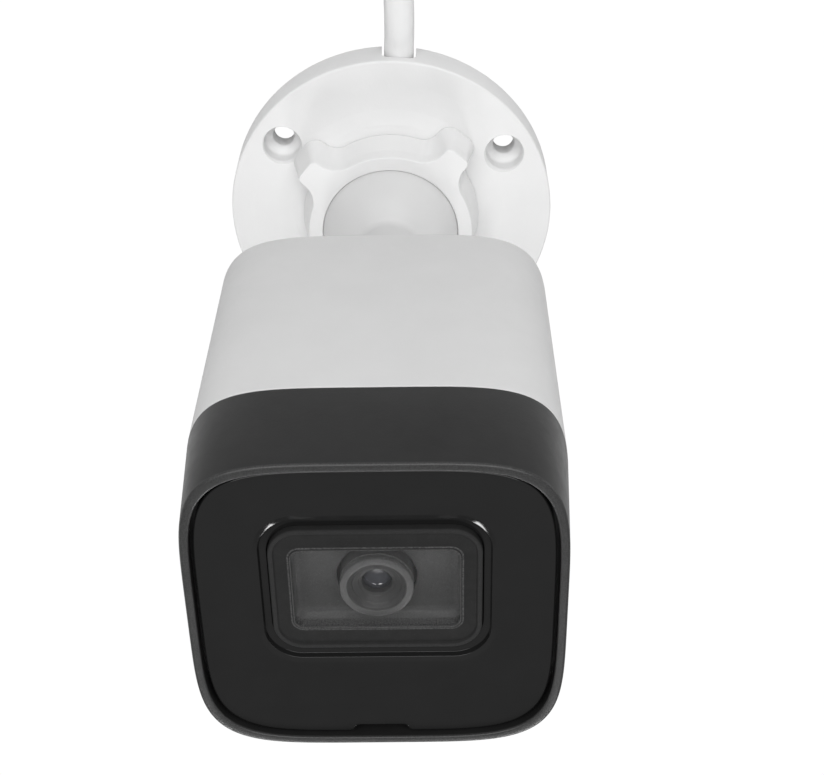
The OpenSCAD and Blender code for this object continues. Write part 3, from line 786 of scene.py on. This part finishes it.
def ball_stem():
    """The hollow ball with its stem, one casting."""
    stem_r, fillet_r = 7, 2
    spigot_r, socket_r, bore_r, inner_r = 6, 4.6, 3.6, BALL_R - 2.8
    shoulder_z, end_z = CAP_NECK_Z - 0.2, extent("ball_stem", Z)[1]
    socket_z = end_z - 4
    foot_z = BALL_Z + sqrt((BALL_R + fillet_r) ** 2 - (stem_r + fillet_r) ** 2)
    rim = atan2(-BALL_FLAT, sqrt(BALL_R**2 - BALL_FLAT**2))
    foot = atan2(foot_z - BALL_Z, stem_r + fillet_r)
    profile = arc(0, BALL_Z, BALL_R, rim, foot, 40)
    profile += arc(stem_r + fillet_r, foot_z, fillet_r, pi + foot, pi, 8)[1:]
    bore_z = sqrt(inner_r**2 - bore_r**2)
    profile += fillet([(stem_r, foot_z + 0.5, 0), (stem_r, shoulder_z, 0.4), (spigot_r, shoulder_z, 0),
                       (spigot_r, end_z, 0.3), (socket_r, end_z, 0), (socket_r, socket_z, 0), (bore_r, socket_z, 0),
                       (bore_r, BALL_Z + bore_z, 0)])
    inner_rim = atan2(-BALL_FLAT, sqrt(inner_r**2 - BALL_FLAT**2))
    profile += arc(0, BALL_Z, inner_r, atan2(bore_z, bore_r), inner_rim, 24)[1:]
    # The ball takes the darker grey paint as painted shade: its tone stands for the shade the housing casts on it.
    piece("ball_and_stem", lathe(profile, closed=True, count=160), "grey_paint", "ball", ["ball_stem"], 32)


ball_stem()


# ---- Housing ----


def rear_cap():
    """The tapered rear cap, hollow inside, with the screws' recesses and the stem's neck."""
    step, narrowing = 0.3, 0.38
    w, h = BODY_W - 2 * step, BODY_H - 2 * step
    taper_w, taper_h = w * narrowing / 2, h * narrowing / 2
    spigot, spigot_z, pocket_z = SPIGOT - step, SHELL_Z + 5.5, SHELL_Z - 7
    side = fillet([
        (spigot, spigot_z, 0), (spigot, SHELL_Z, 0), (0, SHELL_Z, 0.35), (taper_w, CAP_BACK_Z, 4),
        (taper_w + 5, CAP_BACK_Z, 0),
    ], steps=8)
    rings = [superellipse(w - 2 * d, h - 2 * d * taper_h / taper_w, z) for d, z in side]
    neck = fillet([
        (14, CAP_BACK_Z, 0), (11.2, CAP_BACK_Z, 1.2), (11, CAP_NECK_Z, 0.7), (7.2, CAP_NECK_Z, 0.2),
        (7.2, CAP_NECK_Z + 0.4, 0), (6.1, CAP_NECK_Z + 0.4, 0), (6.1, pocket_z, 0), (11, pocket_z, 0),
        (11, CAP_BACK_Z + 2.5, 0), (14, CAP_BACK_Z + 2.5, 0), (20, pocket_z, 0), (20, spigot_z, 0),
    ])
    rings += [circle(r, z) for r, z in neck]
    cutters = []
    for x, y in CAP_SCREWS:
        cutters.append(rod(3, SHELL_Z - 3.5, CAP_BACK_Z - 2, x, y, 48))
        cutters.append(rod(1.6, SHELL_Z + 8, SHELL_Z - 4, x, y, 32))
    piece("rear_cap_casting", loft(rings, closed=True), "grey_paint", "camera", ["rear_cap"], 32, cutters)


def rear_cap_screws():
    """Four screws with round heads and hexagonal sockets, seen from behind."""
    shank_r, head_r, count = 1.5, 2.75, 48
    head_z, tip_z = SHELL_Z - 5.5, SHELL_Z + 24.5
    profile = [(POLE_R, tip_z), (shank_r, tip_z)] + fillet([
        (shank_r, tip_z - 1, 0), (shank_r, head_z + 2, 0), (head_r, head_z + 2, 0.1), (head_r, head_z, 0.7),
        (1.6, head_z, 0),
    ])
    skins = []
    for x, y in CAP_SCREWS:
        rings = [circle(r, z, x, y, count) for r, z in profile]
        rings += [hexagon(r, head_z + deep, x, y, count) for r, deep in ((1.45, 0), (1.3, 0.15), (1.3, 1.3))]
        rings.append(circle(POLE_R, head_z + 1.5, x, y, count))
        skins.append(loft(rings))
    piece("rear_screws", join(*skins), "steel", "camera", ["rear_cap_screws"], 30)


def body_shell():
    """The tube between the rear cap and the hood."""
    seam_z = SEAM_Z - 0.06
    profile = fillet([(0, SHELL_Z, 0.45), (0, seam_z, 0.25), (WALL, seam_z, 0), (WALL, SHELL_Z, 0)], closed=True)
    rings = [superellipse(BODY_W - 2 * d, BODY_H - 2 * d, z) for d, z in profile]
    piece("body_tube", loft(rings, closed=True), "grey_paint", "camera", ["body_shell"], 32)


def hood_ring(inset, z):
    """The hood's outline, which narrows towards the rim."""
    t = min(1, max(0, (z - SEAM_Z) / (FRONT_Z - SEAM_Z)))
    w = BODY_W + (RIM_W - BODY_W) * t
    h = BODY_H + (RIM_H - BODY_H) * t
    return superellipse(w - 2 * inset, h - 2 * inset, z)


def front_hood():
    """The black hood, with a lip round the front plate and a spigot inside the shell."""
    seam_z, spigot_z = SEAM_Z + 0.08, SEAM_Z - 6
    profile = fillet([
        (0, seam_z, 0.2), (0, FRONT_Z, 0.45), (LIP, FRONT_Z, 0.3), (LIP, PLATE_BACK_Z, 0),
        (LIP + 1.4, PLATE_BACK_Z, 0), (LIP + 2.2, spigot_z, 0), (SPIGOT, spigot_z, 0.2), (SPIGOT, seam_z, 0),
    ], closed=True)
    piece("hood_shell", loft([hood_ring(d, z) for d, z in profile], closed=True), "hood_plastic", "camera",
          ["front_hood"], 32)


# ---- Front ----


def window_ring(rectangle, z, inset=0):
    """A rectangle round the window's middle, drawn in by an inset."""
    w, h, r = rectangle
    return round_rect(w - 2 * inset, h - 2 * inset, r - inset, z, cy=WINDOW_Y)


def front_plate():
    """The gloss plate, with a notch in its far edge and a bevelled opening for the window."""
    plate_w, plate_h = RIM_W - 2 * (LIP + PLATE_GAP), RIM_H - 2 * (LIP + PLATE_GAP)
    notch_half, notch_ramp, notch_deep = 4.2, 0.7, 1.3

    def outer(inset, z):
        ring = []
        for x, y, z_here in superellipse(plate_w - 2 * inset, plate_h - 2 * inset, z):
            if y > 0:
                t = (notch_half + notch_ramp / 2 + inset - abs(x)) / notch_ramp
                y -= notch_deep * min(1, max(0, t))
            ring.append((x, y, z_here))
        return ring

    edge = fillet([(0, PLATE_BACK_Z, 0), (0, PLATE_Z, 0.35), (1.2, PLATE_Z, 0)], steps=6)
    rings = [outer(d, z) for d, z in edge]
    bevel = fillet([(-1.6, PLATE_Z, 0), (0, PLATE_Z, 0.3), (0.6, PLATE_Z - 0.19, 0.08), (0.78, PLATE_Z - 1, 0.08),
                    (1.85, PLATE_Z - 1.12, 0.08), (1.85, PLATE_BACK_Z, 0)], steps=5)
    rings += [window_ring((36.6 - 2 * d, 29.2 - 2.8 * d, 6.4 - 0.75 * d), z) for d, z in bevel]
    piece("gloss_plate", loft(rings, closed=True), "panel_plastic", "camera", ["front_plate"], 30)


def window_gasket():
    """The rubber frame round the window: a raised rim, a flat step and a thin lip round the opening."""
    foot = (34.6, 25.6, 5.8)
    top = GLASS_TOP_Z + 0.6
    step_z = top - 0.34
    rings = [window_ring(foot, GASKET_BACK_Z), window_ring(foot, PLATE_BACK_Z)]
    rim = fillet([(0, PLATE_BACK_Z, 0), (0, top, 0.3), (0.75, top, 0.25), (0.95, top - 0.3, 0.15), (2.1, step_z, 0)])
    rings += [window_ring(GASKET_RIM, z, d) for d, z in rim]
    lip = fillet([(-0.45, step_z, 0), (-0.2, top - 0.2, 0.08), (0, top - 0.22, 0.08), (0, GLASS_TOP_Z, 0)])
    rings += [window_ring(GASKET_LIP, z, d) for d, z in lip]
    rings += [window_ring(PANE, GLASS_TOP_Z), window_ring(PANE, GLASS_Z)]
    rings += [window_ring(GASKET_OPENING, GLASS_Z), window_ring(GASKET_OPENING, GASKET_BACK_Z)]
    piece("gasket_frame", loft(rings, closed=True), "black_rubber", "camera", ["window_gasket"], 40)


def lens_mask():
    """The grained plate behind the glass, a shallow tray with a round hole for the lens."""
    hole_r, back_z = 6.2, MASK_Z - 1.2
    side = fillet([(0, back_z, 0), (0, GASKET_BACK_Z, 0.2), (2.2, GASKET_BACK_Z, 0.2), (2.9, MASK_Z, 0.5),
                   (4, MASK_Z, 0)])
    rings = [window_ring((31 - 2 * d, 22.4 - 2 * d * 1.15, 3 - 0.4 * d), z) for d, z in side]
    hole = fillet([(7, MASK_Z, 0), (hole_r, MASK_Z, 0.2), (hole_r, back_z, 0)])
    rings += [circle(r, z, cy=LENS_Y) for r, z in hole]
    piece("mask_tray", loft(rings, closed=True), "mask_plastic", "camera", ["lens_mask"], 40)


def window_glass():
    """The clear pane, with its edges bevelled."""
    bevel, slope = 0.3, 0.2
    profile = [(bevel, GLASS_Z), (0, GLASS_Z + slope), (0, GLASS_TOP_Z - slope), (bevel, GLASS_TOP_Z)]
    rings = [window_ring(PANE, z, d) for d, z in profile]
    piece("window_pane", loft(rings), "clear_glass", "camera", ["window_glass"], 30)


def lens_barrel():
    """The lens barrel: a flange behind, a grooved tube, a flat front ring and steps down to the glass."""
    back_z, flange_z, tube_z, flange_r, back_r = 122.5, 124.5, 134, 6, 4
    groove_r, cone_r, seat_z = BARREL_R - 0.25, 2.4, BARREL_Z - 2.9
    profile = fillet([
        (0, flange_z, 0), (back_r, flange_z, 0), (back_r, back_z, 0), (flange_r, back_z, 0.2),
        (flange_r, tube_z, 0.1), (BARREL_R, tube_z, 0), (BARREL_R, BARREL_Z - 1.4, 0), (groove_r, BARREL_Z - 1.3, 0),
        (groove_r, BARREL_Z - 1, 0), (BARREL_R, BARREL_Z - 0.9, 0), (BARREL_R, BARREL_Z, 0.25),
        (4.6, BARREL_Z, 0.12), (4.5, BARREL_Z - 0.45, 0.1), (3.9, BARREL_Z - 0.75, 0.1),
        (3.75, BARREL_Z - 0.95, 0.08), (2.9, BARREL_Z - 1.35, 0.1), (2.75, BARREL_Z - 1.5, 0.05),
        (cone_r, BARREL_Z - 1.6, 0.08), (cone_r, seat_z, 0), (0, seat_z, 0),
    ], steps=3)
    piece("lens_tube", lathe(profile, cy=LENS_Y, count=160), "lens_metal", "camera", ["lens_barrel"], 30)


def lens_front():
    """The domed front element of the lens."""
    radius, edge, back_z = 3.1, 2.38, BARREL_Z - 2.8
    rim = atan2(sqrt(radius**2 - edge**2), edge)
    dome = arc(0, BARREL_Z - 1.55 - radius, radius, rim, pi / 2, 14)
    skin = lathe([(0, back_z), (edge, back_z)] + dome, cy=LENS_Y, count=96)
    piece("lens_dome", skin, "lens_glass", "camera", ["lens_front_element"], 30)


rear_cap()
rear_cap_screws()
body_shell()
front_hood()
front_plate()
window_gasket()
lens_mask()
window_glass()
lens_barrel()
lens_front()


# ---- Studio ----
# Lengths here are metres.

WHITE = 1.02  # strength at which the background is pure white
FLOOR_HALF, FLOOR_Z = 6, -0.0002
LAMP_AIM = Vector((0, 0, 0.1))


def white_to_camera(tree, kind, usual, output):
    """The camera sees plain white, and every other ray meets the usual shader."""
    white = tree.nodes.new(kind)
    white.inputs["Color"].default_value = (*grey(1), 1)
    white.inputs["Strength"].default_value = WHITE
    by_ray(tree, "Is Camera Ray", usual, white, output)


def floor_material():
    """A plain pale matt surface, white to the camera."""
    material = bpy.data.materials.new("floor_white")
    material.use_nodes = True
    surface = material.node_tree.nodes["Principled BSDF"]
    surface.inputs["Base Color"].default_value = (*grey(0.6), 1)
    surface.inputs["Roughness"].default_value = 1
    surface.inputs["Specular IOR Level"].default_value = 0
    white_to_camera(material.node_tree, "ShaderNodeEmission", surface, "Material Output")
    return material


def floor():
    """The sheet that the camera's base lies on."""
    mesh = bpy.data.meshes.new("floor")
    corners = [(x * FLOOR_HALF, y * FLOOR_HALF, FLOOR_Z) for x, y in ((-1, -1), (1, -1), (1, 1), (-1, 1))]
    mesh.from_pydata(corners, [], [(0, 1, 2, 3)])
    mesh.materials.append(floor_material())
    sheet = bpy.data.objects.new("floor", mesh)
    scene.collection.objects.link(sheet)


def softbox(name, place, width, height, power):
    """A rectangular lamp of so many watts, aimed at the housing."""
    data = bpy.data.lights.new(name, "AREA")
    data.shape = "RECTANGLE"
    data.size = width
    data.size_y = height
    data.energy = power
    lamp = bpy.data.objects.new(name, data)
    scene.collection.objects.link(lamp)
    lamp.location = place
    lamp.rotation_euler = (LAMP_AIM - Vector(place)).to_track_quat("-Z", "Y").to_euler()


def sky():
    """A soft light from all round that is dimmer towards +Y. The camera sees plain white instead."""
    world = bpy.data.worlds.new("studio")
    scene.world = world
    world.use_nodes = True
    nodes, links = world.node_tree.nodes, world.node_tree.links
    split = nodes.new("ShaderNodeSeparateXYZ")
    links.new(nodes.new("ShaderNodeTexCoord").outputs["Generated"], split.inputs["Vector"])
    fade = nodes.new("ShaderNodeValToRGB")
    set_stops(fade.color_ramp, [(0, grey(1)), (0.6, grey(0.76)), (0.88, grey(0.2))])
    links.new(split.outputs["Y"], fade.inputs["Fac"])
    light = nodes["Background"]
    links.new(fade.outputs["Color"], light.inputs["Color"])
    light.inputs["Strength"].default_value = 0.42
    white_to_camera(world.node_tree, "ShaderNodeBackground", light, "World Output")


def studio():
    """A white floor and sky, a large lamp above the front, and small ones that shine along the housing's edges."""
    floor()
    sky()
    softbox("key", (0, -0.82, 1.14), 1.6, 1.1, 15.9)
    softbox("left_strip", (0.225, 0.9, 0.56), 0.19, 0.22, 2.0)
    softbox("right_strip", (-0.165, 0.9, 0.56), 0.23, 0.22, 2.4)
    softbox("left_panel", (0.8, 0.4, 0.12), 0.5, 0.3, 0.55)
    softbox("right_panel", (-0.9, -0.1, 0.2), 0.5, 0.3, 0.9)
    scene.view_settings.view_transform = "Standard"


studio()
